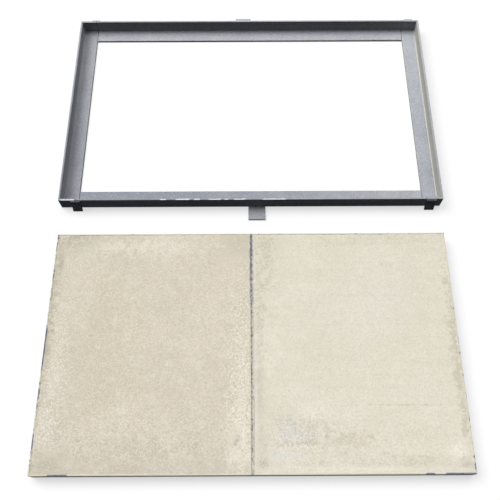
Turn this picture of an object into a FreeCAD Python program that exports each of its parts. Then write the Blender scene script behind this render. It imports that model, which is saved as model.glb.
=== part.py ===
import FreeCAD, Part
import os
import Sketcher
from FreeCAD import Placement, Rotation, Vector

# Access cover with frame: a welded steel angle frame, and the two concrete leaves of its cover.
# The set lies on one floor, with the leaves lifted out in front of the frame. +X runs along the long
# side, +Y from the leaves to the frame, +Z up, and the origin is the middle of the set's base.

# Driving sizes in millimetres
DRIVING_SIZES = {
    # frame, over the outside of its walls
    "frame_width": 1000,
    "frame_depth": 600,
    "wall_height": 40,
    "ledge_leg": 45,
    "angle_thickness": 5,
    "root_radius": 5,
    "toe_radius": 2.5,
    "plate_thickness": 5,
    # flat lugs near the middle of the long walls, the front one right of it and the back one left
    "lug_width": 45,
    "lug_reach": 40,
    "lug_thickness": 5,
    "lug_offset_front": 16,
    "lug_offset_back": 20,
    # bent tangs outside the long walls, near the corners
    "tang_width": 25,
    "tang_thickness": 4,
    "tang_weld_length": 12,
    "tang_top_drop": 2,
    "tang_splay": 8,
    "tang_inset_left": 44,
    "tang_inset_right": 30,
    # leaves of the cover
    "seat_clearance": 5,
    "leaf_gap": 4,
    "rim_thickness": 3,
    "rim_leg": 25,
    "rim_root_radius": 2,
    # bare floor between the front lug's tip and the leaves
    "lay_gap": 55,
}

doc = FreeCAD.newDocument("access_cover")
sizes = doc.addObject("Spreadsheet::Sheet", "sizes")
for row, (alias, value) in enumerate(DRIVING_SIZES.items(), start=1):
    sizes.set(f"A{row}", alias)
    sizes.set(f"B{row}", str(value))
    sizes.setAlias(f"B{row}", alias)
doc.recompute()

# Sizes that follow from the driving ones: a leaf drops into the frame with the seat clearance all
# round, stands on the ledges and comes flush with the top of the walls
SIDE_LENGTH = "(sizes.frame_depth - 2 * sizes.plate_thickness)"
LONG_LENGTH = "(sizes.frame_width - 2 * sizes.ledge_leg)"
SEAT_MARGIN = "(2 * (sizes.angle_thickness + sizes.seat_clearance))"
LEAF_WIDTH = f"((sizes.frame_width - {SEAT_MARGIN} - sizes.leaf_gap) / 2)"
LEAF_DEPTH = f"(sizes.frame_depth - {SEAT_MARGIN})"
LEAF_HEIGHT = "(sizes.wall_height - sizes.angle_thickness)"

# Where the frame's and the leaves' middles lie on the floor
SET_DEPTH = f"(2 * sizes.lug_reach + sizes.frame_depth + sizes.lay_gap + {LEAF_DEPTH})"
FRAME_Y = f"({SET_DEPTH} / 2 - sizes.lug_reach - sizes.frame_depth / 2)"
FRONT_WALL_Y = f"({FRAME_Y} - sizes.frame_depth / 2)"
BACK_WALL_Y = f"({FRAME_Y} + sizes.frame_depth / 2)"
LEAF_Y = f"(({LEAF_DEPTH} - {SET_DEPTH}) / 2)"

sub_parts = []


def place(piece, x, y, turn=0.0):
    """Stand a piece on the floor at x and y, two expressions, turned about the upright axis."""
    piece.Placement = Placement(Vector(), Rotation(Vector(0, 0, 1), turn))
    piece.setExpression("Placement.Base.x", x)
    piece.setExpression("Placement.Base.y", y)


def new_body(label):
    """Start a sub-part that is made feature by feature."""
    body = doc.addObject("PartDesign::Body", label)
    body.Label = label
    sub_parts.append(body)
    return body


def new_sketch(body, name, plane_role):
    """Start a sketch on one of the body's own origin planes."""
    sketch = body.newObject("Sketcher::SketchObject", f"{body.Name}_{name}")
    plane = next(item for item in body.Origin.OriginFeatures if item.Role == plane_role)
    sketch.AttachmentSupport = [(plane, "")]
    sketch.MapMode = "FlatFace"
    return sketch


def draw_outline(sketch, corners):
    """Draw a closed outline of straight lines through the corners, and give its first line's number."""
    first = sketch.GeometryCount
    count = len(corners)
    for number, (x, y) in enumerate(corners):
        next_x, next_y = corners[(number + 1) % count]
        sketch.addGeometry(Part.LineSegment(Vector(x, y, 0), Vector(next_x, next_y, 0)))
    for number in range(count):
        after = first + (number + 1) % count
        sketch.addConstraint(Sketcher.Constraint("Coincident", first + number, 2, after, 1))
    return first


def set_upright(sketch, level_lines, upright_lines):
    """Hold some lines of a sketch level and others upright."""
    for line in level_lines:
        sketch.addConstraint(Sketcher.Constraint("Horizontal", line))
    for line in upright_lines:
        sketch.addConstraint(Sketcher.Constraint("Vertical", line))


def dimension(sketch, kind, place_refs, guess, name, expression):
    """Add a named dimension to a sketch and bind it to the sheet."""
    number = sketch.addConstraint(Sketcher.Constraint(kind, *place_refs, guess))
    sketch.renameConstraint(number, name)
    sketch.setExpression(f"Constraints.{name}", expression)


def pad_both_ways(body, sketch, length):
    """Draw a section out to both sides of its sketch plane."""
    pad = body.newObject("PartDesign::Pad", f"{body.Name}_pad")
    pad.Profile = sketch
    pad.SideType = "Symmetric"
    pad.setExpression("Length", length)
    doc.recompute()
    return pad


def lengthwise_edges(feature, section_points):
    """Name the edges of a bar along Y that stand at the given points of its section."""
    names = []
    for number, edge in enumerate(feature.Shape.Edges, start=1):
        middle = edge.CenterOfMass
        runs_along_bar = abs(edge.tangentAt(edge.FirstParameter).y) > 0.99
        if runs_along_bar and any(middle.isEqual(Vector(x, 0, z), 0.01) for x, z in section_points):
            names.append(f"Edge{number}")
    return names


def round_edges(body, feature, name, section_points, radius):
    """Round lengthwise edges of a bar with a radius from the sheet."""
    fillet = body.newObject("PartDesign::Fillet", f"{body.Name}_{name}")
    fillet.Base = (feature, lengthwise_edges(feature, section_points))
    fillet.setExpression("Radius", radius)
    doc.recompute()
    return fillet


def angle_bar(label, leg, wall, thickness, length):
    """An angle with its heel on the Y axis, one leg flat along +X and one wall up, centred along Y."""
    body = new_body(label)
    section = new_sketch(body, "section", "XZ_Plane")
    guess_leg, guess_wall, guess_thick = 40, 30, 4
    base = draw_outline(section, [
        (0, 0), (guess_leg, 0), (guess_leg, guess_thick),
        (guess_thick, guess_thick), (guess_thick, guess_wall), (0, guess_wall)])
    set_upright(section, [base, base + 2, base + 4], [base + 1, base + 3, base + 5])
    section.addConstraint(Sketcher.Constraint("Coincident", base, 1, -1, 1))
    dimension(section, "DistanceX", (base, 1, base, 2), guess_leg, "leg", leg)
    dimension(section, "DistanceY", (base + 5, 2, base + 5, 1), guess_wall, "wall", wall)
    dimension(section, "DistanceY", (base + 1, 1, base + 1, 2), guess_thick, "leg_thickness", thickness)
    dimension(section, "DistanceX", (base + 4, 2, base + 4, 1), guess_thick, "wall_thickness", thickness)
    return body, pad_both_ways(body, section, length)


# Frame angles: rolled section with a rounded root and rounded toes. The side angles run between the
# corner plates; the long angles are cut square between the side angles' ledges.
def frame_angle(label, length):
    body, bar = angle_bar(label, "sizes.ledge_leg", "sizes.wall_height", "sizes.angle_thickness", length)
    thick, leg, wall = sizes.angle_thickness, sizes.ledge_leg, sizes.wall_height
    rooted = round_edges(body, bar, "root", [(thick, thick)], "sizes.root_radius")
    round_edges(body, rooted, "toes", [(leg, thick), (thick, wall)], "sizes.toe_radius")
    return body


LEFT_WALL_X = "(-sizes.frame_width / 2)"
RIGHT_WALL_X = "(sizes.frame_width / 2)"
place(frame_angle("frame_side_angle_left", SIDE_LENGTH), LEFT_WALL_X, FRAME_Y)
place(frame_angle("frame_side_angle_right", SIDE_LENGTH), RIGHT_WALL_X, FRAME_Y, 180)
place(frame_angle("frame_long_angle_front", LONG_LENGTH), "0", FRONT_WALL_Y, 90)
place(frame_angle("frame_long_angle_back", LONG_LENGTH), "0", BACK_WALL_Y, -90)


# Flat pieces sheared from plate and bar
def flat_piece(label, length, width, height):
    piece = doc.addObject("Part::Box", label)
    piece.Label = label
    piece.setExpression("Length", length)
    piece.setExpression("Width", width)
    piece.setExpression("Height", height)
    sub_parts.append(piece)
    return piece


# Corner plates: each closes one end of a side angle, flush with the outside of the long wall
PLATE_X = {"left": LEFT_WALL_X, "right": f"({RIGHT_WALL_X} - sizes.ledge_leg)"}
PLATE_Y = {"front": FRONT_WALL_Y, "back": f"({BACK_WALL_Y} - sizes.plate_thickness)"}
for end, plate_y in PLATE_Y.items():
    for side, plate_x in PLATE_X.items():
        plate = flat_piece(f"frame_corner_plate_{end}_{side}",
                           "sizes.ledge_leg", "sizes.plate_thickness", "sizes.wall_height")
        place(plate, plate_x, plate_y)

# Anchor lugs: flat bar laid on the floor, butted against each long wall near its middle
LUG_SEAT = {"front": ("sizes.lug_offset_front", f"({FRONT_WALL_Y} - sizes.lug_reach)"),
            "back": ("-sizes.lug_offset_back", BACK_WALL_Y)}
for end, (middle_x, lug_y) in LUG_SEAT.items():
    lug = flat_piece(f"anchor_lug_{end}", "sizes.lug_width", "sizes.lug_reach", "sizes.lug_thickness")
    place(lug, f"({middle_x} - sizes.lug_width / 2)", lug_y)


# Anchor tangs: flat bar with its top flat on the wall's outside, then bent away from it to the floor
def anchor_tang(label):
    body = new_body(label)
    profile = new_sketch(body, "profile", "YZ_Plane")
    guess_top, guess_bend, guess_splay, guess_thick = 38, 26, 8, 4
    wall_face = draw_outline(profile, [
        (0, guess_top), (0, guess_bend), (guess_splay, 0), (guess_splay + guess_thick, 0),
        (guess_thick, guess_bend + guess_thick), (guess_thick, guess_top)])
    inner_slope, foot, outer_slope, outer_face, top = range(wall_face + 1, wall_face + 6)
    set_upright(profile, [foot, top], [wall_face, outer_face])
    profile.addConstraint(Sketcher.Constraint("PointOnObject", wall_face, 1, -2))
    profile.addConstraint(Sketcher.Constraint("PointOnObject", foot, 1, -1))
    profile.addConstraint(Sketcher.Constraint("Parallel", inner_slope, outer_slope))
    dimension(profile, "DistanceY", (-1, 1, wall_face, 1), guess_top, "top_height",
              "sizes.wall_height - sizes.tang_top_drop")
    dimension(profile, "DistanceY", (wall_face, 2, wall_face, 1), guess_top - guess_bend,
              "weld_length", "sizes.tang_weld_length")
    dimension(profile, "DistanceX", (-1, 1, foot, 1), guess_splay, "splay", "sizes.tang_splay")
    dimension(profile, "DistanceX", (top, 2, top, 1), guess_thick, "thickness", "sizes.tang_thickness")
    dimension(profile, "Distance", (outer_slope, 2, inner_slope), guess_thick, "slope_thickness",
              "sizes.tang_thickness")
    pad_both_ways(body, profile, "sizes.tang_width")
    return body


TANG_X = {"left": f"({LEFT_WALL_X} + sizes.tang_inset_left)",
          "right": f"({RIGHT_WALL_X} - sizes.tang_inset_right)"}
TANG_SEAT = {"front": (FRONT_WALL_Y, 180), "back": (BACK_WALL_Y, 0)}
for end, (seat_y, turn) in TANG_SEAT.items():
    for side, tang_x in TANG_X.items():
        place(anchor_tang(f"anchor_tang_{end}_{side}"), tang_x, seat_y, turn)


# Leaf rims: light angle with one leg turned in under the slab, mitred at both ends
def rim_angle(label, length):
    body, bar = angle_bar(label, "sizes.rim_leg", LEAF_HEIGHT, "sizes.rim_thickness", length)
    thick = sizes.rim_thickness
    rooted = round_edges(body, bar, "root", [(thick, thick)], "sizes.rim_root_radius")
    mitres = new_sketch(body, "mitres", "XY_Plane")
    guess_leg, guess_half = 20, 200
    for end, way in (("far", 1), ("near", -1)):
        tip = way * guess_half
        across = draw_outline(mitres, [(0, tip), (guess_leg, tip), (guess_leg, tip - way * guess_leg)])
        along = across + 1
        set_upright(mitres, [across], [along])
        mitres.addConstraint(Sketcher.Constraint("PointOnObject", across, 1, -2))
        mitres.addConstraint(Sketcher.Constraint("Equal", across, along))
        dimension(mitres, "DistanceX", (across, 1, across, 2), guess_leg, f"{end}_leg", "sizes.rim_leg")
        ends = (-1, 1, across, 1) if way > 0 else (across, 1, -1, 1)
        dimension(mitres, "DistanceY", ends, guess_half, f"{end}_reach", f"{length} / 2")
    cut = body.newObject("PartDesign::Pocket", f"{body.Name}_mitre_cut")
    cut.Profile = mitres
    cut.Type = "ThroughAll"
    cut.SideType = "Symmetric"
    doc.recompute()
    if cut.Shape.Volume >= rooted.Shape.Volume:
        raise RuntimeError(f"{label}: the mitres cut nothing")
    return body


# Concrete fill: cast inside the rim down to its underside, so it takes the rim's inner form
def concrete_fill(label, middle_x, rims):
    block = doc.addObject("Part::Box", f"{label}_block")
    block.setExpression("Length", f"{LEAF_WIDTH} - 2 * sizes.rim_thickness")
    block.setExpression("Width", f"{LEAF_DEPTH} - 2 * sizes.rim_thickness")
    block.setExpression("Height", LEAF_HEIGHT)
    place(block, f"{middle_x} - {LEAF_WIDTH} / 2 + sizes.rim_thickness",
          f"{LEAF_Y} - {LEAF_DEPTH} / 2 + sizes.rim_thickness")
    ring = doc.addObject("Part::MultiFuse", f"{label}_rim_ring")
    ring.Shapes = rims
    fill = doc.addObject("Part::Cut", label)
    fill.Label = label
    fill.Base = block
    fill.Tool = ring
    sub_parts.append(fill)


# Leaves: the same build twice, side by side with the leaf gap between their rims
for leaf, way in (("left", -1), ("right", 1)):
    middle_x = f"({way} * ({LEAF_WIDTH} + sizes.leaf_gap) / 2)"
    low_x = f"({middle_x} - {LEAF_WIDTH} / 2)"
    high_x = f"({middle_x} + {LEAF_WIDTH} / 2)"
    low_name, high_name = ("outer", "joint") if way < 0 else ("joint", "outer")
    low_rim = rim_angle(f"leaf_{leaf}_rim_{low_name}", LEAF_DEPTH)
    place(low_rim, low_x, LEAF_Y)
    high_rim = rim_angle(f"leaf_{leaf}_rim_{high_name}", LEAF_DEPTH)
    place(high_rim, high_x, LEAF_Y, 180)
    front_rim = rim_angle(f"leaf_{leaf}_rim_front", LEAF_WIDTH)
    place(front_rim, middle_x, f"({LEAF_Y} - {LEAF_DEPTH} / 2)", 90)
    back_rim = rim_angle(f"leaf_{leaf}_rim_back", LEAF_WIDTH)
    place(back_rim, middle_x, f"({LEAF_Y} + {LEAF_DEPTH} / 2)", -90)
    concrete_fill(f"leaf_{leaf}_concrete_fill", middle_x, [low_rim, high_rim, front_rim, back_rim])

doc.recompute()

# Every object has to be sound before a file is written
for item in doc.Objects:
    if "Invalid" in item.State or "Error" in item.State:
        raise RuntimeError(f"{item.Name}: {item.State}")
for piece in sub_parts:
    if piece.Shape.isNull() or not piece.Shape.isValid() or len(piece.Shape.Solids) != 1:
        raise RuntimeError(f"{piece.Label}: not one sound solid")

os.makedirs("parts", exist_ok=True)
for piece in sub_parts:
    piece.Shape.exportStep(f"parts/{piece.Label}.step")
    box = piece.Shape.BoundBox
    print(f"{piece.Label}: {piece.Shape.Volume:.0f} mm3,"
          f" {box.XLength:.1f} x {box.YLength:.1f} x {box.ZLength:.1f} mm")
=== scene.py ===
import math

import bpy
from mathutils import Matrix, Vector, noise


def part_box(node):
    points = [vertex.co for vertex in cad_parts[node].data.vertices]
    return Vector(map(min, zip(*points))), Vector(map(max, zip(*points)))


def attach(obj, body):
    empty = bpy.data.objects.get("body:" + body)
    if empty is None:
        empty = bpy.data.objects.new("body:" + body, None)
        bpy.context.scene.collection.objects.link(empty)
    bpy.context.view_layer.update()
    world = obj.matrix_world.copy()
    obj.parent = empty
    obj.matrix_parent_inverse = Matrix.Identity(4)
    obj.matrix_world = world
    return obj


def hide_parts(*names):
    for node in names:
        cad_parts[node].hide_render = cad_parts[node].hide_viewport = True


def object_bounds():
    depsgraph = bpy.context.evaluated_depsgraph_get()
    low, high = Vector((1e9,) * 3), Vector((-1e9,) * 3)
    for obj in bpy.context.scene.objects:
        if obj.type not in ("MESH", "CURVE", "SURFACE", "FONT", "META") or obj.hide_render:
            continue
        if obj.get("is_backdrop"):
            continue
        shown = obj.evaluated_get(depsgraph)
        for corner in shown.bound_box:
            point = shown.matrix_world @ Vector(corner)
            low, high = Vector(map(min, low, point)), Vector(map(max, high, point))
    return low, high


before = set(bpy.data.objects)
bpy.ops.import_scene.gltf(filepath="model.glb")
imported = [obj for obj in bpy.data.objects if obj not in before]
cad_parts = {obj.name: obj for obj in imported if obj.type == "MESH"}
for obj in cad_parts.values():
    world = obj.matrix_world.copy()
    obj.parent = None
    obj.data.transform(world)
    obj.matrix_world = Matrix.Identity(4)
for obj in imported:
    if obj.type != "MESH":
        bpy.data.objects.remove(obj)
cad_low, cad_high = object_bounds()


# Frame angles
# Four lengths of rolled steel angle, wall up and ledge turned inward at the bottom, cut square and
# welded into a ring. They carry one brushed coat of satin grey paint over the mill scale.
FRAME_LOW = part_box("frame_corner_plate_front_left")[0]
FRAME_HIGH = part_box("frame_corner_plate_back_right")[1]
FRAME_WIDTH = FRAME_HIGH.x - FRAME_LOW.x
SEAM_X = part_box("frame_long_angle_front")[1].x
STEEL_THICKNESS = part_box("anchor_lug_front")[1].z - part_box("anchor_lug_front")[0].z
SHEARED_EDGE = 0.0006


def to_linear(colour):
    """An sRGB hex colour as a linear RGBA value."""
    channels = [int(colour[place:place + 2], 16) / 255 for place in (1, 3, 5)]
    return [c / 12.92 if c <= 0.04045 else ((c + 0.055) / 1.055) ** 2.4 for c in channels] + [1.0]


def add_node(tree, kind, sockets=None, **settings):
    """Add a node, set its properties, and fill or link its input sockets."""
    node = tree.nodes.new(kind)
    for name, value in settings.items():
        setattr(node, name, value)
    for socket, value in (sockets or {}).items():
        if isinstance(value, bpy.types.NodeSocket):
            tree.links.new(value, node.inputs[socket])
        else:
            node.inputs[socket].default_value = value
    return node


def new_material(name):
    """A material with its node tree and its Principled shader."""
    material = bpy.data.materials.new(name)
    material.use_nodes = True
    return material, material.node_tree, material.node_tree.nodes["Principled BSDF"]


# Sockets of a Mix node that is set to RGBA
FACTOR, COLOUR_A, COLOUR_B, MIXED = 0, 6, 7, 2


# Satin alkyd paint, brushed: a cool grey with little shine in soft clouds, with a fine orange peel and dark
# hairlines at the welded seams. Painted light pales it towards the back and right of the frame, and the
# peel's hollows and crests are painted darker and paler as painted shade and highlight. Pale chips show on
# the given stretches of the top edge. The walls that face a given way take a tint: painted shade darkens
# the walls facing -Y, painted light pales the left wall's inner face, and the right wall's inner face takes
# a warmer tint with a painted highlight along its root.
def satin_grey_paint(name, darker_coat, paler_coat, painted_light_towards=(0.07, 0.48, 0), seam_tone=0.8,
                     chipped_stretches=(), wall_tint_and_painted_light=None):
    cloud_size, peel_size, ragged_size = 0.070, 0.0036, 0.006
    cloud_share = 0.45
    material, tree, shader = new_material(name)
    coordinates = add_node(tree, "ShaderNodeTexCoord")
    place = coordinates.outputs["Object"]
    axes = add_node(tree, "ShaderNodeSeparateXYZ", {"Vector": place})
    clouds = add_node(tree, "ShaderNodeTexNoise",
                      {"Vector": place, "Scale": 1 / cloud_size, "Detail": 6, "Roughness": 0.65})
    # painted light: the coat pales along this direction, towards the back and right, as a gradient of light
    # across the frame
    light_gradient = add_node(tree, "ShaderNodeVectorMath", {
        0: place, 1: painted_light_towards}, operation="DOT_PRODUCT")
    clouds_and_light = add_node(tree, "ShaderNodeMath", {
        0: clouds.outputs["Fac"], 1: cloud_share, 2: light_gradient.outputs["Value"]}, operation="MULTIPLY_ADD")
    cloud_tone = add_node(tree, "ShaderNodeMapRange",
                          {"Value": clouds_and_light.outputs[0], "From Min": 0.19, "From Max": 0.57})
    coat = add_node(tree, "ShaderNodeMix", {
        FACTOR: cloud_tone.outputs["Result"],
        COLOUR_A: to_linear(darker_coat), COLOUR_B: to_linear(paler_coat)}, data_type="RGBA")

    # the peel is finer on the real paint, and is drawn coarser so that it shows
    peel = add_node(tree, "ShaderNodeTexNoise",
                    {"Vector": place, "Scale": 1 / peel_size, "Detail": 2, "Roughness": 0.6})
    # painted shade and highlight: the peel's hollows are painted darker and its crests paler
    hollow_tone = add_node(tree, "ShaderNodeMapRange", {
        "Value": peel.outputs["Fac"], "From Min": 0.50, "From Max": 0.70, "To Max": 0.40})
    hollows = add_node(tree, "ShaderNodeMix", {
        FACTOR: hollow_tone.outputs["Result"],
        COLOUR_A: coat.outputs[MIXED], COLOUR_B: to_linear("#878990")}, data_type="RGBA")
    crest_tone = add_node(tree, "ShaderNodeMapRange", {
        "Value": peel.outputs["Fac"], "From Min": 0.46, "From Max": 0.28, "To Max": 0.36})
    colour = add_node(tree, "ShaderNodeMix", {
        FACTOR: crest_tone.outputs["Result"],
        COLOUR_A: hollows.outputs[MIXED], COLOUR_B: to_linear("#D6D8DD")}, data_type="RGBA")

    if seam_tone:
        # seams: a dark hairline where a long angle butts against a side angle
        half_seam = 0.0011
        from_middle = add_node(tree, "ShaderNodeMath", {0: axes.outputs["X"]}, operation="ABSOLUTE")
        from_seam = add_node(tree, "ShaderNodeMath", {
            0: from_middle.outputs[0], 1: SEAM_X}, operation="SUBTRACT")
        off_seam = add_node(tree, "ShaderNodeMath", {0: from_seam.outputs[0]}, operation="ABSOLUTE")
        seam = add_node(tree, "ShaderNodeMapRange", {
            "Value": off_seam.outputs[0], "From Min": half_seam, "From Max": half_seam / 2,
            "To Max": seam_tone})
        colour = add_node(tree, "ShaderNodeMix", {
            FACTOR: seam.outputs["Result"],
            COLOUR_A: colour.outputs[MIXED], COLOUR_B: to_linear("#45474E")}, data_type="RGBA")

    ragged = add_node(tree, "ShaderNodeTexNoise",
                      {"Vector": place, "Scale": 1 / ragged_size, "Detail": 4, "Roughness": 0.7})
    if chipped_stretches:
        # chips: ragged at their ends, and within a few millimetres of the front wall's outer arris
        ragged_end, ragged_depth, chip_reach, chip_fade = 0.030, 0.009, 0.0070, 0.0004
        ragged_x = add_node(tree, "ShaderNodeMath", {
            0: ragged.outputs["Fac"], 1: ragged_end, 2: axes.outputs["X"]}, operation="MULTIPLY_ADD")
        along = add_node(tree, "ShaderNodeMapRange", {
            "Value": ragged_x.outputs[0],
            "From Min": FRAME_LOW.x + ragged_end / 2, "From Max": FRAME_HIGH.x + ragged_end / 2})
        stretches = add_node(tree, "ShaderNodeValToRGB", {"Fac": along.outputs["Result"]})
        ramp = stretches.color_ramp
        ramp.interpolation = "CONSTANT"
        ramp.elements[0].color = (0, 0, 0, 1)
        ramp.elements.remove(ramp.elements[1])
        for start, end in chipped_stretches:
            ramp.elements.new((start - FRAME_LOW.x) / FRAME_WIDTH).color = (1, 1, 1, 1)
            ramp.elements.new((end - FRAME_LOW.x) / FRAME_WIDTH).color = (0, 0, 0, 1)
        to_arris = add_node(tree, "ShaderNodeVectorMath", {
            0: place, 1: (0, FRAME_LOW.y, FRAME_HIGH.z)}, operation="SUBTRACT")
        across_arris = add_node(tree, "ShaderNodeVectorMath", {
            0: to_arris.outputs[0], 1: (0, 1, 1)}, operation="MULTIPLY")
        off_arris = add_node(tree, "ShaderNodeVectorMath", {
            0: across_arris.outputs[0]}, operation="LENGTH")
        ragged_edge = add_node(tree, "ShaderNodeMath", {
            0: ragged.outputs["Fac"], 1: ragged_depth, 2: off_arris.outputs["Value"]},
            operation="MULTIPLY_ADD")
        on_edge = add_node(tree, "ShaderNodeMapRange", {
            "Value": ragged_edge.outputs[0],
            "From Min": chip_reach + chip_fade, "From Max": chip_reach - chip_fade})
        bare = add_node(tree, "ShaderNodeMath", {
            0: stretches.outputs["Color"], 1: on_edge.outputs["Result"]}, operation="MULTIPLY")
        colour = add_node(tree, "ShaderNodeMix", {
            FACTOR: bare.outputs[0],
            COLOUR_A: colour.outputs[MIXED], COLOUR_B: to_linear("#F2F2F3")}, data_type="RGBA")

    # a tint on the wall that faces the given way: painted shade where it darkens a wall facing -Y, painted
    # light where it pales the left wall's inner face
    if wall_tint_and_painted_light:
        facing, tint, share, root_highlight_share = wall_tint_and_painted_light
        # the wall that looks that way, known by its normal
        turned = add_node(tree, "ShaderNodeVectorMath", {
            0: coordinates.outputs["Normal"], 1: facing}, operation="DOT_PRODUCT")
        on_wall = add_node(tree, "ShaderNodeMath", {
            0: turned.outputs["Value"], 1: 0.6}, operation="GREATER_THAN")
        patchy = add_node(tree, "ShaderNodeMapRange", {
            "Value": ragged.outputs["Fac"], "From Min": 0.30, "From Max": 0.60,
            "To Min": 0.6 * share, "To Max": share})
        tinted = add_node(tree, "ShaderNodeMath", {
            0: on_wall.outputs[0], 1: patchy.outputs["Result"]}, operation="MULTIPLY")
        colour = add_node(tree, "ShaderNodeMix", {
            FACTOR: tinted.outputs[0],
            COLOUR_A: colour.outputs[MIXED], COLOUR_B: to_linear(tint)}, data_type="RGBA")
        if root_highlight_share:
            # painted highlight: a pale ragged line where the right wall meets its ledge, for the light on
            # the angle's root
            line_width = 0.0028
            to_root = add_node(tree, "ShaderNodeVectorMath", {
                0: place, 1: (FRAME_HIGH.x - STEEL_THICKNESS, 0, FRAME_LOW.z + STEEL_THICKNESS)},
                operation="SUBTRACT")
            across_root = add_node(tree, "ShaderNodeVectorMath", {
                0: to_root.outputs[0], 1: (1, 0, 1)}, operation="MULTIPLY")
            off_root = add_node(tree, "ShaderNodeVectorMath", {
                0: across_root.outputs[0]}, operation="LENGTH")
            ragged_root = add_node(tree, "ShaderNodeMath", {
                0: ragged.outputs["Fac"], 1: line_width, 2: off_root.outputs["Value"]},
                operation="MULTIPLY_ADD")
            line = add_node(tree, "ShaderNodeMapRange", {
                "Value": ragged_root.outputs[0],
                "From Min": 1.6 * line_width, "From Max": 1.2 * line_width, "To Max": root_highlight_share})
            colour = add_node(tree, "ShaderNodeMix", {
                FACTOR: line.outputs["Result"],
                COLOUR_A: colour.outputs[MIXED], COLOUR_B: to_linear("#DCD8CC")}, data_type="RGBA")
    tree.links.new(colour.outputs[MIXED], shader.inputs["Base Color"])

    sheen = add_node(tree, "ShaderNodeMapRange",
                     {"Value": clouds.outputs["Fac"], "To Min": 0.52, "To Max": 0.70})
    tree.links.new(sheen.outputs["Result"], shader.inputs["Roughness"])
    skin = add_node(tree, "ShaderNodeBump", {
        "Height": peel.outputs["Fac"], "Strength": 0.15, "Distance": 0.0005})
    tree.links.new(skin.outputs["Normal"], shader.inputs["Normal"])
    shader.inputs["Specular IOR Level"].default_value = 0.05
    return material


def dress(node_name, material, edge):
    """Give a CAD node its finish, and break its sharp edges by a small round."""
    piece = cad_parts[node_name]
    piece.data.materials.clear()
    piece.data.materials.append(material)
    joined = piece.modifiers.new("joined_faces", "WELD")
    joined.merge_threshold = 1e-6
    rounded = piece.modifiers.new("broken_edges", "BEVEL")
    rounded.width = edge
    rounded.segments = 2
    rounded.limit_method = "ANGLE"
    rounded.angle_limit = math.radians(40)
    rounded.harden_normals = True


# stretches of the front wall's top edge that are chipped to bright steel, in metres along X
CHIPPED = [(-0.500, -0.458), (-0.237, -0.221), (-0.199, -0.163), (-0.149, -0.133),
           (-0.113, -0.081), (-0.068, -0.059), (-0.043, -0.018), (0.029, 0.090)]
# a wall's tint is given by the way it looks, its tint, the tint's share and the share of the painted
# highlight in its root
# painted shade darkens the walls facing -Y, painted light pales the left wall's inner face, and the right
# wall's inner face takes a warmer tint with a painted highlight in its root
front_paint = satin_grey_paint("satin_grey_paint_front_wall", "#9498A2", "#B9B9BA",
                               painted_light_towards=(0.40, 0.48, 0), chipped_stretches=CHIPPED,
                               wall_tint_and_painted_light=((0, -1, 0), "#6E7077", 0.40, 0.0))
back_paint = satin_grey_paint("satin_grey_paint_back_wall", "#A5A7AF", "#C1C3C9",
                              wall_tint_and_painted_light=((0, -1, 0), "#6E7077", 0.75, 0.0))
left_paint = satin_grey_paint("satin_grey_paint_left_wall", "#9FA1A9", "#BBBDC3",
                              wall_tint_and_painted_light=((1, 0, 0), "#B9BCC0", 0.60, 0.0))
right_paint = satin_grey_paint("satin_grey_paint_right_wall", "#A0A3AB", "#BCBFC6",
                               wall_tint_and_painted_light=((-1, 0, 0), "#BFBCB2", 0.90, 0.9))
dress("frame_long_angle_front", front_paint, SHEARED_EDGE)
dress("frame_long_angle_back", back_paint, SHEARED_EDGE)
dress("frame_side_angle_left", left_paint, SHEARED_EDGE)
dress("frame_side_angle_right", right_paint, SHEARED_EDGE)


# Corner plates
# Small flats sheared from plate that close the ends of the side angles, flush with the long walls.
# They are butt welded, ground, and painted with the frame.
for side in ("left", "right"):
    dress(f"frame_corner_plate_front_{side}", front_paint, SHEARED_EDGE)
    dress(f"frame_corner_plate_back_{side}", back_paint, SHEARED_EDGE)


# Anchor lugs and tangs
# Flat bar that ties the frame into its concrete surround: a lug at floor level near the middle of each
# long wall, and short bent tangs near the corners. Welded on, and painted with the frame.
lug_paint = satin_grey_paint("satin_grey_paint_lugs", "#97999F", "#BEC0C6", seam_tone=0.0)
# painted shade: the tangs are painted far darker than the frame, for the shade they stand in
shaded_tang_paint = satin_grey_paint("satin_grey_paint_tangs_painted_shade", "#585A60", "#6C6E74", seam_tone=0.0)
for end in ("front", "back"):
    dress(f"anchor_lug_{end}", lug_paint, SHEARED_EDGE)
    for side in ("left", "right"):
        dress(f"anchor_tang_{end}_{side}", shaded_tang_paint, SHEARED_EDGE)


# Weld beads
# Short runs of arc weld left as laid: across the lugs, down both edges of the tangs and up the seams
# of the long walls. Rippled steel under the same paint.
def add_piece(name, corners, faces, material):
    """Put an object with its own mesh and finish in the scene."""
    mesh = bpy.data.meshes.new(name)
    mesh.from_pydata(corners, [], faces)
    mesh.materials.append(material)
    piece = bpy.data.objects.new(name, mesh)
    bpy.context.scene.collection.objects.link(piece)
    return piece


def weld_bead(name, start, end, radius, paint):
    """A rippled bead from start to end, half sunk in the corner that it fills."""
    ring_step, ring_count, lump_size = 0.0015, 10, 0.004
    along = end - start
    count = max(4, round(along.length / ring_step))
    across = along.orthogonal().normalized()
    upward = along.normalized().cross(across)
    corners, faces = [], []
    for ring in range(count + 1):
        centre = start + along * ring / count
        ripple = 0.86 + 0.14 * abs(math.sin(ring * 1.1)) + 0.10 * noise.noise(centre / lump_size)
        taper = min(1.0, 0.35 + min(ring, count - ring) * 0.35)
        for step in range(ring_count):
            turn = 2 * math.pi * step / ring_count
            spoke = across * math.cos(turn) + upward * math.sin(turn)
            corners.append(centre + spoke * radius * ripple * taper)
    for ring in range(count):
        for step in range(ring_count):
            here, following = ring * ring_count, (ring + 1) * ring_count
            turned = (step + 1) % ring_count
            faces.append((here + step, here + turned, following + turned, following + step))
    faces.append(tuple(reversed(range(ring_count))))
    faces.append(tuple(range(count * ring_count, (count + 1) * ring_count)))
    bead = add_piece(name, corners, faces, paint)
    bead.data.shade_smooth()
    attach(bead, "root")


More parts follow.
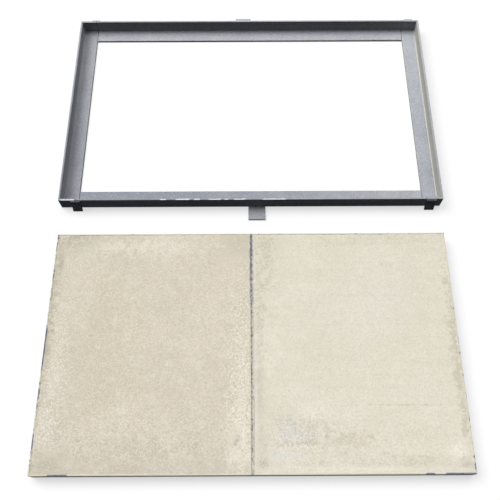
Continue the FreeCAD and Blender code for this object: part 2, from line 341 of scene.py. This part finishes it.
LUG_BEAD, TANG_BEAD, SEAM_BEAD = 0.0030, 0.0018, 0.0016
TANG_WELD, SEAM_WELD_INSET = 0.012, 0.003
for end, wall_face in (("front", FRAME_LOW.y), ("back", FRAME_HIGH.y)):
    low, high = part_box(f"anchor_lug_{end}")
    weld_bead(f"lug_weld_{end}", Vector((low.x + LUG_BEAD, wall_face, high.z)),
              Vector((high.x - LUG_BEAD, wall_face, high.z)), LUG_BEAD, lug_paint)
    for side in ("left", "right"):
        low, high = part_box(f"anchor_tang_{end}_{side}")
        for edge, x in (("left", low.x), ("right", high.x)):
            weld_bead(f"tang_weld_{end}_{side}_{edge}", Vector((x, wall_face, high.z - TANG_WELD)),
                      Vector((x, wall_face, high.z)), TANG_BEAD, shaded_tang_paint)
for end, wall_face in (("front", FRAME_LOW.y), ("back", FRAME_HIGH.y)):
    weld_bead(f"seam_weld_{end}", Vector((SEAM_X, wall_face, FRAME_LOW.z + SEAM_WELD_INSET)),
              Vector((SEAM_X, wall_face, FRAME_HIGH.z - SEAM_WELD_INSET)), SEAM_BEAD, lug_paint)


# Leaf rims
# Light steel angle round each leaf, mitred and welded, that held the concrete while it was cast.
# Thin blue-grey paint, and along the top edges a film of cement that the trowel left.


# Thin alkyd paint, dipped: a dull cold blue-grey with rubbed and gritty places. The cement lies over it
# as a pale ragged film, from the slab outward, and is scraped off again on some stretches.
def thin_blue_grey_paint(name, darker_coat, paler_coat, across, inner_edge, top, film):
    wear_size, grit_size = 0.014, 0.0035
    film_spread, ragged_end, scrape_far, scrape_near = 0.017, 0.040, 0.030, 0.014
    film_size, film_reach, scrape_depth, bare_stretches = film
    material, tree, shader = new_material(name)
    place = add_node(tree, "ShaderNodeTexCoord").outputs["Object"]
    axes = add_node(tree, "ShaderNodeSeparateXYZ", {"Vector": place})
    wear = add_node(tree, "ShaderNodeTexNoise",
                    {"Vector": place, "Scale": 1 / wear_size, "Detail": 6, "Roughness": 0.6})
    worn = add_node(tree, "ShaderNodeMapRange",
                    {"Value": wear.outputs["Fac"], "From Min": 0.35, "From Max": 0.70})
    coat = add_node(tree, "ShaderNodeMix", {
        FACTOR: worn.outputs["Result"],
        COLOUR_A: to_linear(darker_coat), COLOUR_B: to_linear(paler_coat)}, data_type="RGBA")
    # the grit in the paint is finer than this, and is drawn coarser so that it shows
    grit = add_node(tree, "ShaderNodeTexNoise",
                    {"Vector": place, "Scale": 1 / grit_size, "Detail": 3, "Roughness": 0.7})
    grit_tone = add_node(tree, "ShaderNodeMapRange", {
        "Value": grit.outputs["Fac"], "From Min": 0.52, "From Max": 0.75, "To Max": 0.5})
    gritty = add_node(tree, "ShaderNodeMix", {
        FACTOR: grit_tone.outputs["Result"],
        COLOUR_A: coat.outputs[MIXED], COLOUR_B: to_linear("#A9AAB6")}, data_type="RGBA")

    # cement: from the slab outward over the top edge and down the face, as far as the film reached
    patches = add_node(tree, "ShaderNodeTexNoise",
                       {"Vector": place, "Scale": 1 / film_size, "Detail": 7, "Roughness": 0.7})
    off_slab = add_node(tree, "ShaderNodeMath", {
        0: axes.outputs[across], 1: inner_edge}, operation="SUBTRACT")
    over_top = add_node(tree, "ShaderNodeMath", {0: off_slab.outputs[0]}, operation="ABSOLUTE")
    down_face = add_node(tree, "ShaderNodeMath", {0: top, 1: axes.outputs["Z"]}, operation="SUBTRACT")
    travelled = add_node(tree, "ShaderNodeMath", {
        0: over_top.outputs[0], 1: down_face.outputs[0]}, operation="ADD")
    reached = add_node(tree, "ShaderNodeMapRange", {
        "Value": patches.outputs["Fac"],
        "To Min": film_reach - film_spread, "To Max": film_reach + film_spread}, clamp=False)
    film_left = reached.outputs["Result"]
    along = axes.outputs["Y"] if across == "X" else axes.outputs["X"]
    for bare_from, bare_to in bare_stretches:
        middle, half = (bare_from + bare_to) / 2, (bare_to - bare_from) / 2
        off_middle = add_node(tree, "ShaderNodeMath", {0: along, 1: middle}, operation="SUBTRACT")
        off_stretch = add_node(tree, "ShaderNodeMath", {0: off_middle.outputs[0]}, operation="ABSOLUTE")
        off_ragged = add_node(tree, "ShaderNodeMath", {
            0: wear.outputs["Fac"], 1: ragged_end, 2: off_stretch.outputs[0]}, operation="MULTIPLY_ADD")
        scraped = add_node(tree, "ShaderNodeMapRange", {
            "Value": off_ragged.outputs[0], "From Min": half + scrape_far, "From Max": half + scrape_near,
            "To Max": scrape_depth})
        left_over = add_node(tree, "ShaderNodeMath", {
            0: film_left, 1: scraped.outputs["Result"]}, operation="SUBTRACT")
        film_left = left_over.outputs[0]
    short_of = add_node(tree, "ShaderNodeMath", {
        0: film_left, 1: travelled.outputs[0]}, operation="SUBTRACT")
    covered = add_node(tree, "ShaderNodeMapRange", {
        "Value": short_of.outputs[0], "From Min": -0.0003, "From Max": 0.0005})
    smeared = add_node(tree, "ShaderNodeMix", {
        FACTOR: covered.outputs["Result"],
        COLOUR_A: gritty.outputs[MIXED], COLOUR_B: to_linear("#D6CFBD")}, data_type="RGBA")
    tree.links.new(smeared.outputs[MIXED], shader.inputs["Base Color"])
    skin = add_node(tree, "ShaderNodeBump", {
        "Height": patches.outputs["Fac"], "Strength": 0.3, "Distance": 0.0005})
    tree.links.new(skin.outputs["Normal"], shader.inputs["Normal"])
    shader.inputs["Roughness"].default_value = 0.6
    shader.inputs["Specular IOR Level"].default_value = 0.2
    return material


ROLLED_EDGE = 0.0004
# cement film: the size of its patches, how far it reached from the slab, and how deep and on which
# stretches it was scraped off again, all in metres
CEMENT_FILM = {
    "left_rim_outer": (0.022, 0.0022, 0.007, [(-0.400, -0.330)]),
    "left_rim_joint": (0.005, 0.0050, 0.004, [(-0.260, -0.077)]),
    "left_rim_front": (0.022, 0.0240, 0.040, [(-0.451, -0.406)]),
    "left_rim_back": (0.022, 0.0060, 0, []),
    "right_rim_outer": (0.022, 0.0050, 0, []),
    "right_rim_joint": (0.006, 0.0032, 0.002, [(-0.260, -0.110)]),
    "right_rim_front": (0.022, 0.0180, 0.040, [(0.383, 0.397), (0.424, 0.490)]),
    "right_rim_back": (0.022, 0.0060, 0, [])}
for rim, film in CEMENT_FILM.items():
    leaf, side = rim.split("_rim_")
    low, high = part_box(f"leaf_{leaf}_concrete_fill")
    darker_coat, paler_coat = "#5E6377", "#84889C"
    if side == "front":
        across, inner_edge = "Y", low.y
    elif side == "back":
        across, inner_edge = "Y", high.y
    elif (side == "outer") == (leaf == "left"):
        across, inner_edge = "X", low.x
    else:
        across, inner_edge = "X", high.x
    if side == "joint":
        # dust from the joint has greyed the paint and made it paler
        darker_coat, paler_coat = "#8F9098", "#BABABF"
    rim_paint = thin_blue_grey_paint(f"thin_blue_grey_paint_{rim}", darker_coat, paler_coat,
                                     across, inner_edge, high.z, film)
    dress(f"leaf_{rim}", rim_paint, ROLLED_EDGE)


# Concrete fills
# One slab per leaf, cast inside the rim and trowelled flush with it. Pale beige cement with fine
# sand, clouded by the trowel, stained near the edges and worn along the joint.


# Trowelled concrete: a matt pale beige in soft clouds, with pale and dark specks of sand, faint strokes
# and hair scratches of the trowel, and stains and worn places where the marks say.
def trowelled_concrete(name, paste, shade, stroke_share, sand_share, marks):
    cloud_size, trowel_size, ragged_size, sand_size, hair_size = 0.150, 0.035, 0.014, 0.0030, 0.022
    stroke_length, stroke_width = 0.260, 0.014
    # how much the grain counts against the distance from an oval's centre
    grain_weight = 7.0
    material, tree, shader = new_material(name)
    place = add_node(tree, "ShaderNodeTexCoord").outputs["Object"]
    clouds = add_node(tree, "ShaderNodeTexNoise",
                      {"Vector": place, "Scale": 1 / cloud_size, "Detail": 8, "Roughness": 0.62})
    cloud_tone = add_node(tree, "ShaderNodeMapRange",
                          {"Value": clouds.outputs["Fac"], "From Min": 0.35, "From Max": 0.65})
    colour = add_node(tree, "ShaderNodeMix", {
        FACTOR: cloud_tone.outputs["Result"],
        COLOUR_A: to_linear(paste), COLOUR_B: to_linear(shade)}, data_type="RGBA")

    # stains and worn places: an oval each, broken up by a coarse or a fine grain
    ragged = add_node(tree, "ShaderNodeTexNoise",
                      {"Vector": place, "Scale": 1 / ragged_size, "Detail": 8, "Roughness": 0.8})
    # sand is finer than this in the real mix, and is drawn coarser so that it shows
    sand = add_node(tree, "ShaderNodeTexNoise",
                    {"Vector": place, "Scale": 1 / sand_size, "Detail": 2, "Roughness": 0.6})
    for x, y, reach_x, reach_y, tint, strength, grain in marks:
        oval = add_node(tree, "ShaderNodeMapping", {
            "Vector": place, "Location": (x, y, 0), "Scale": (reach_x, reach_y, 1)},
            vector_type="TEXTURE")
        off_centre = add_node(tree, "ShaderNodeVectorMath", {0: oval.outputs[0]}, operation="LENGTH")
        broken = add_node(tree, "ShaderNodeMath", {
            0: sand.outputs["Fac"] if grain == "fine" else ragged.outputs["Fac"],
            1: grain_weight, 2: off_centre.outputs["Value"]}, operation="MULTIPLY_ADD")
        inside = add_node(tree, "ShaderNodeMapRange", {
            "Value": broken.outputs[0],
            "From Min": grain_weight / 2 + 1, "From Max": grain_weight / 2, "To Max": strength},
            interpolation_type="SMOOTHSTEP")
        colour = add_node(tree, "ShaderNodeMix", {
            FACTOR: inside.outputs["Result"],
            COLOUR_A: colour.outputs[MIXED], COLOUR_B: to_linear(tint)}, data_type="RGBA")

    # trowel strokes, worn spots, and sand that shows through as pale and dark specks
    strokes_at = add_node(tree, "ShaderNodeMapping", {
        "Vector": place, "Scale": (1 / stroke_length, 1 / stroke_width, 1)})
    strokes = add_node(tree, "ShaderNodeTexNoise",
                       {"Vector": strokes_at.outputs[0], "Scale": 1, "Detail": 3, "Roughness": 0.6})
    trowel = add_node(tree, "ShaderNodeTexNoise",
                      {"Vector": place, "Scale": 1 / trowel_size, "Detail": 6, "Roughness": 0.7})
    # hair scratches: thin curved lines that a grain under the trowel drew
    curls = add_node(tree, "ShaderNodeTexNoise", {
        "Vector": place, "Scale": 1 / hair_size, "Detail": 3, "Roughness": 0.5, "Distortion": 1.2})
    off_line = add_node(tree, "ShaderNodeMath", {0: curls.outputs["Fac"], 1: 0.5}, operation="SUBTRACT")
    hairs = add_node(tree, "ShaderNodeMath", {0: off_line.outputs[0]}, operation="ABSOLUTE")
    for pattern, from_low, from_high, share, tint in (
            (strokes.outputs["Fac"], 0.50, 0.80, stroke_share, "#C4BCA5"),
            (trowel.outputs["Fac"], 0.52, 0.75, 0.55, "#EBE5D6"),
            (hairs.outputs[0], 0.022, 0.004, 0.18, "#F6F1E5"),
            (sand.outputs["Fac"], 0.50, 0.72, sand_share, "#A89F88"),
            (sand.outputs["Fac"], 0.46, 0.28, sand_share, "#FBF8EF"),
            (ragged.outputs["Fac"], 0.62, 0.74, 0.45, "#F3EEE2"),
            (ragged.outputs["Fac"], 0.37, 0.27, 0.45, "#B5AE9A")):
        share_here = add_node(tree, "ShaderNodeMapRange", {
            "Value": pattern, "From Min": from_low, "From Max": from_high, "To Max": share})
        colour = add_node(tree, "ShaderNodeMix", {
            FACTOR: share_here.outputs["Result"],
            COLOUR_A: colour.outputs[MIXED], COLOUR_B: to_linear(tint)}, data_type="RGBA")
    tree.links.new(colour.outputs[MIXED], shader.inputs["Base Color"])
    relief = add_node(tree, "ShaderNodeBump", {
        "Height": sand.outputs["Fac"], "Strength": 0.35, "Distance": 0.0010})
    tree.links.new(relief.outputs["Normal"], shader.inputs["Normal"])
    shader.inputs["Roughness"].default_value = 0.9
    shader.inputs["Specular IOR Level"].default_value = 0.2
    return material


def cast_slab(leaf, material, broken_corners):
    """The slab as cast: a trowelled top with crumbled borders, stepped in over the rim's legs."""
    mesh_step = 0.003
    trowel_dip, wave_depth, wave_length = 0.0004, 0.00022, 0.080
    ripple_depth, ripple_length = 0.00012, 0.014
    crumble_depth, crumble_reach, crumble_size, chip_size = 0.0014, 0.007, 0.016, 0.009
    node_name = f"leaf_{leaf}_concrete_fill"
    low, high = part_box(node_name)
    rim_low, rim_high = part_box(f"leaf_{leaf}_rim_front")
    leg_reach = rim_high.y - low.y
    leg_top = low.z + low.y - rim_low.y
    columns = round((high.x - low.x) / mesh_step)
    rows = round((high.y - low.y) / mesh_step)

    def worn_depth(x, y):
        """How far the worn top lies below the rim's top edge."""
        spot = Vector((x, y, 0))
        depth = trowel_dip + wave_depth * noise.noise(spot / wave_length)
        depth += ripple_depth * noise.noise(spot / ripple_length)
        border = min(x - low.x, high.x - x, y - low.y, high.y - y)
        crumbled = max(0.0, 0.25 + noise.noise(spot / crumble_size))
        depth += crumble_depth * crumbled * max(0.0, 1 - border / crumble_reach)
        for corner_x, corner_y, reach, drop in broken_corners:
            near = max(0.0, 1 - math.hypot(x - corner_x, y - corner_y) / reach)
            depth += drop * near * max(0.0, 0.6 + noise.noise(spot / chip_size))
        return max(0.0, depth)

    corners, faces = [], []
    for row in range(rows + 1):
        y = low.y + (high.y - low.y) * row / rows
        for column in range(columns + 1):
            x = low.x + (high.x - low.x) * column / columns
            corners.append((x, y, high.z - worn_depth(x, y)))
    for row in range(rows):
        for column in range(columns):
            here = row * (columns + 1) + column
            faces.append((here, here + 1, here + columns + 2, here + columns + 1))

    # the sides go down to the rim's legs, in over them, and down again to the underside
    outline = list(range(columns))
    outline += [row * (columns + 1) + columns for row in range(rows)]
    outline += [rows * (columns + 1) + column for column in range(columns, 0, -1)]
    outline += [row * (columns + 1) for row in range(rows, 0, -1)]
    middle = (low + high) / 2
    inward_x = 1 - 2 * leg_reach / (high.x - low.x)
    inward_y = 1 - 2 * leg_reach / (high.y - low.y)
    loop = outline
    for height, share_x, share_y in (
            (leg_top, 1, 1), (leg_top, inward_x, inward_y), (low.z, inward_x, inward_y)):
        first = len(corners)
        for place in outline:
            x = middle.x + (corners[place][0] - middle.x) * share_x
            y = middle.y + (corners[place][1] - middle.y) * share_y
            corners.append((x, y, height))
        below = list(range(first, len(corners)))
        for step in range(len(outline)):
            turned = (step + 1) % len(outline)
            faces.append((loop[turned], loop[step], below[step], below[turned]))
        loop = below
    faces.append(tuple(reversed(loop)))
    slab = add_piece(f"{leaf}_slab", corners, faces, material)
    slab.data.shade_smooth()
    slab.data.set_sharp_from_angle(angle=math.radians(50))
    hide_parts(node_name)
    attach(slab, "root")


# marks as centre x, y and reach x, y in metres, tint, strength and the grain that breaks them up
WORN, DAMP, LIME, SOIL, SCUFF = "#F3EDDE", "#A9A48F", "#E3E2E2", "#C6B79F", "#7E7A6C"
left_marks = [
    (-0.350, -0.330, 0.110, 0.200, "#CFC8B1", 0.6, "coarse"),
    (-0.022, -0.470, 0.030, 0.230, WORN, 0.50, "fine"),
    (-0.030, -0.560, 0.040, 0.100, WORN, 0.5, "coarse"),
    (-0.038, -0.588, 0.009, 0.022, SCUFF, 0.6, "fine"),
    (-0.483, -0.383, 0.010, 0.022, SCUFF, 0.6, "fine"),
    (-0.472, -0.155, 0.006, 0.022, SCUFF, 0.5, "fine"),
    (-0.468, -0.557, 0.034, 0.060, LIME, 0.28, "fine"),
    (-0.440, -0.420, 0.050, 0.160, LIME, 0.08, "coarse"),
    (-0.462, -0.636, 0.060, 0.030, DAMP, 0.7, "fine"),
    (-0.484, -0.300, 0.016, 0.330, DAMP, 0.6, "coarse"),
    (-0.440, -0.100, 0.080, 0.040, DAMP, 0.75, "coarse"),
    (-0.250, -0.646, 0.260, 0.018, DAMP, 0.30, "fine"),
    (-0.060, -0.625, 0.080, 0.040, DAMP, 0.08, "fine"),
    (-0.030, -0.105, 0.040, 0.045, DAMP, 0.35, "fine"),
    (-0.036, -0.612, 0.030, 0.044, WORN, 0.6, "coarse"),
    (-0.300, -0.115, 0.200, 0.030, WORN, 0.5, "coarse"),
    (-0.456, -0.430, 0.022, 0.150, WORN, 0.26, "fine"),
    (-0.478, -0.330, 0.010, 0.020, SCUFF, 0.30, "coarse"),
    (-0.260, -0.605, 0.220, 0.045, "#A69E87", 0.26, "coarse"),
    (-0.260, -0.590, 0.220, 0.060, WORN, 0.14, "fine")]
right_marks = [
    (0.085, -0.565, 0.060, 0.040, "#D2D2D4", 0.62, "coarse"),
    (0.080, -0.617, 0.055, 0.020, LIME, 0.60, "coarse"),
    (0.142, -0.531, 0.045, 0.026, WORN, 0.65, "coarse"),
    (0.120, -0.555, 0.090, 0.030, DAMP, 0.30, "coarse"),
    (0.100, -0.592, 0.070, 0.006, DAMP, 0.35, "coarse"),
    (0.024, -0.632, 0.012, 0.010, SCUFF, 0.45, "fine"),
    (0.222, -0.580, 0.060, 0.018, SOIL, 0.40, "coarse"),
    (0.018, -0.430, 0.016, 0.260, DAMP, 0.4, "fine"),
    (0.009, -0.400, 0.006, 0.300, LIME, 0.4, "coarse"),
    (0.460, -0.616, 0.026, 0.036, WORN, 0.95, "coarse"),
    (0.468, -0.634, 0.016, 0.014, SCUFF, 0.32, "fine"),
    (0.480, -0.400, 0.016, 0.300, "#BDB7A4", 0.62, "coarse"),
    (0.330, -0.092, 0.190, 0.022, DAMP, 0.18, "coarse"),
    (0.346, -0.508, 0.140, 0.0022, SOIL, 0.5, "coarse"),
    (0.300, -0.636, 0.230, 0.024, DAMP, 0.28, "coarse"),
    (0.250, -0.646, 0.230, 0.010, WORN, 0.7, "coarse"),
    (0.170, -0.590, 0.190, 0.070, DAMP, 0.12, "coarse"),
    (0.300, -0.260, 0.120, 0.120, LIME, 0.18, "coarse"),
    (0.035, -0.110, 0.040, 0.040, DAMP, 0.35, "fine"),
    (0.034, -0.210, 0.030, 0.150, "#A59A84", 0.40, "fine"),
    (0.040, -0.300, 0.034, 0.200, WORN, 0.45, "coarse"),
    (0.300, -0.615, 0.170, 0.030, WORN, 0.14, "fine"),
    (0.092, -0.575, 0.050, 0.042, "#F4F2EE", 0.24, "fine")]
left_concrete = trowelled_concrete("trowelled_concrete_left", "#DCD3C2", "#D1C8B5",
                                   stroke_share=0.08, sand_share=0.36, marks=left_marks)
right_concrete = trowelled_concrete("trowelled_concrete_right", "#E5DFCF", "#DFD9C7",
                                    stroke_share=0.20, sand_share=0.26, marks=right_marks)
# broken corners as x and y, reach and drop in metres
cast_slab("left", left_concrete, [])
cast_slab("right", right_concrete, [(0.487, -0.6545, 0.040, 0.0030)])


# Joint grit
# Cement crumbs and street dirt that have packed themselves between the two joint rims, almost up to
# the top, heaped a little at the back.


# Packed grit: a dull grey with pale crumbs. They are drawn coarser than they are, so that they show.
def packed_grit():
    crumb_size = 0.006
    material, tree, shader = new_material("packed_grit")
    place = add_node(tree, "ShaderNodeTexCoord").outputs["Object"]
    crumbs = add_node(tree, "ShaderNodeTexNoise",
                      {"Vector": place, "Scale": 1 / crumb_size, "Detail": 4, "Roughness": 0.7})
    # dust has settled more towards the front, so the crumbs are paler there
    towards_front = add_node(tree, "ShaderNodeVectorMath", {
        0: place, 1: (0, -0.30, 0)}, operation="DOT_PRODUCT")
    dusted = add_node(tree, "ShaderNodeMath", {
        0: crumbs.outputs["Fac"], 1: towards_front.outputs["Value"]}, operation="ADD")
    dust_tone = add_node(tree, "ShaderNodeMapRange",
                         {"Value": dusted.outputs[0], "From Min": 0.50, "From Max": 0.72})
    colour = add_node(tree, "ShaderNodeMix", {
        FACTOR: dust_tone.outputs["Result"],
        COLOUR_A: to_linear("#6E6F74"), COLOUR_B: to_linear("#C8C5BA")}, data_type="RGBA")
    tree.links.new(colour.outputs[MIXED], shader.inputs["Base Color"])
    shader.inputs["Roughness"].default_value = 0.95
    shader.inputs["Specular IOR Level"].default_value = 0.1
    return material


GRIT_STEP, GRIT_SIDES, GRIT_TOP = 0.003, 5, 0.0335
GRIT_HEAP, GRIT_HEAP_LENGTH, GRIT_BUMP, GRIT_BUMP_LENGTH = 0.0008, 0.090, 0.0010, 0.012
left_low, left_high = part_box("leaf_left_rim_joint")
grit_low = Vector((left_high.x, left_low.y, cad_low.z))
grit_high = Vector((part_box("leaf_right_rim_joint")[0].x, left_high.y, GRIT_TOP))
stations = round((grit_high.y - grit_low.y) / GRIT_STEP)
corners, faces = [], []
for station in range(stations + 1):
    y = grit_low.y + (grit_high.y - grit_low.y) * station / stations
    heaped = GRIT_HEAP * max(0.0, 1 - (grit_high.y - y) / GRIT_HEAP_LENGTH)
    for x, phase in ((grit_low.x, 0), ((grit_low.x + grit_high.x) / 2, 1), (grit_high.x, 2)):
        bump = GRIT_BUMP * noise.noise(Vector((phase, y / GRIT_BUMP_LENGTH, 0)))
        corners.append((x, y, grit_high.z + heaped + bump))
    corners.append((grit_high.x, y, grit_low.z))
    corners.append((grit_low.x, y, grit_low.z))
for station in range(stations):
    here, following = station * GRIT_SIDES, (station + 1) * GRIT_SIDES
    for side in range(GRIT_SIDES):
        turned = (side + 1) % GRIT_SIDES
        faces.append((here + side, here + turned, following + turned, following + side))
faces.append(tuple(reversed(range(GRIT_SIDES))))
faces.append(tuple(range(stations * GRIT_SIDES, (stations + 1) * GRIT_SIDES)))
grit = add_piece("joint_grit", corners, faces, packed_grit())
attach(grit, "root")


# Floor
# A plain pale sheet under the set. The lens sees it white with a faint shadow, and it throws little
# light back on the steel.
FLOOR_REACH, FLOOR_DROP = 8.0, 0.0002


def seen_directly(tree):
    """One for rays to the lens, in gloss or through glass, and nought for light on the object."""
    rays = add_node(tree, "ShaderNodeLightPath")
    lens_or_gloss = add_node(tree, "ShaderNodeMath", {
        0: rays.outputs["Is Camera Ray"], 1: rays.outputs["Is Glossy Ray"]}, operation="MAXIMUM")
    seen = add_node(tree, "ShaderNodeMath", {
        0: lens_or_gloss.outputs[0], 1: rays.outputs["Is Transmission Ray"]}, operation="MAXIMUM")
    return seen.outputs[0]


# Matt white sheet: no gloss, and a glow of its own to the lens that leaves the shadow in view
floor_sheet, tree, shader = new_material("matt_white_sheet")
seen = seen_directly(tree)
tone = add_node(tree, "ShaderNodeMix", {
    FACTOR: seen, COLOUR_A: to_linear("#202020"), COLOUR_B: to_linear("#AAAAAA")}, data_type="RGBA")
tree.links.new(tone.outputs[MIXED], shader.inputs["Base Color"])
shader.inputs["Roughness"].default_value = 1.0
shader.inputs["Specular IOR Level"].default_value = 0.0
shader.inputs["Emission Color"].default_value = (1, 1, 1, 1)
glow = add_node(tree, "ShaderNodeMath", {0: seen, 1: 0.62}, operation="MULTIPLY")
tree.links.new(glow.outputs[0], shader.inputs["Emission Strength"])
floor_corners = [(-FLOOR_REACH, -FLOOR_REACH, 0), (FLOOR_REACH, -FLOOR_REACH, 0),
                 (FLOOR_REACH, FLOOR_REACH, 0), (-FLOOR_REACH, FLOOR_REACH, 0)]
floor = add_piece("floor", floor_corners, [(0, 1, 2, 3)], floor_sheet)
floor.location.z = cad_low.z - FLOOR_DROP
floor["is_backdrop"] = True


# Light
# A broad soft lamp from the left and above, a little behind the set, and a weak one almost overhead. The
# studio is bright above and behind and dark towards the lens, so faces turned to the lens stay deep.
for name, strength, shines_from in (("soft_key", 2.34, (-0.57, 0.32, 0.76)),
                                    ("weak_fill", 0.80, (0.16, 0.38, 0.91))):
    lamp = bpy.data.lights.new(name, "SUN")
    lamp.energy = strength
    lamp.angle = math.radians(40)
    sun = bpy.data.objects.new(name, lamp)
    sun.rotation_euler = Vector(shines_from).to_track_quat("Z", "Y").to_euler()
    bpy.context.scene.collection.objects.link(sun)

world = bpy.data.worlds.new("studio")
bpy.context.scene.world = world
world.use_nodes = True
tree = world.node_tree
tree.nodes.clear()
towards = add_node(tree, "ShaderNodeTexCoord").outputs["Generated"]
overhead = add_node(tree, "ShaderNodeVectorMath", {
    0: towards, 1: (0.0, 0.64, 0.77)}, operation="DOT_PRODUCT")
sky_glow = add_node(tree, "ShaderNodeMapRange", {
    "Value": overhead.outputs["Value"], "From Min": 0.22, "To Max": 0.50})
sky_strength = add_node(tree, "ShaderNodeMix", {
    "Factor": seen_directly(tree), "A": sky_glow.outputs["Result"], "B": 1.0}, data_type="FLOAT")
backdrop = add_node(tree, "ShaderNodeBackground", {
    "Color": (1, 1, 1, 1), "Strength": sky_strength.outputs["Result"]})
add_node(tree, "ShaderNodeOutputWorld", {"Surface": backdrop.outputs[0]})


# Camera
# It stands just in front of the leaves, a metre and a half up, and looks down steeply on the whole set
# through a plain lens.
FOCAL_PIXELS, IMAGE_PIXELS = 636, 500
LOOK_DOWN, LOOK_ASIDE = math.radians(66.5), math.radians(-0.28)
lens = bpy.data.cameras.new("camera")
lens.lens = FOCAL_PIXELS / IMAGE_PIXELS * lens.sensor_width
camera = bpy.data.objects.new("camera", lens)
camera.location = (-0.006, -0.760, 1.500)
camera.rotation_euler = (math.pi / 2 - LOOK_DOWN, 0, LOOK_ASIDE)
bpy.context.scene.collection.objects.link(camera)
bpy.context.scene.camera = camera
bpy.context.scene.view_settings.view_transform = "Standard"

low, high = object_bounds()
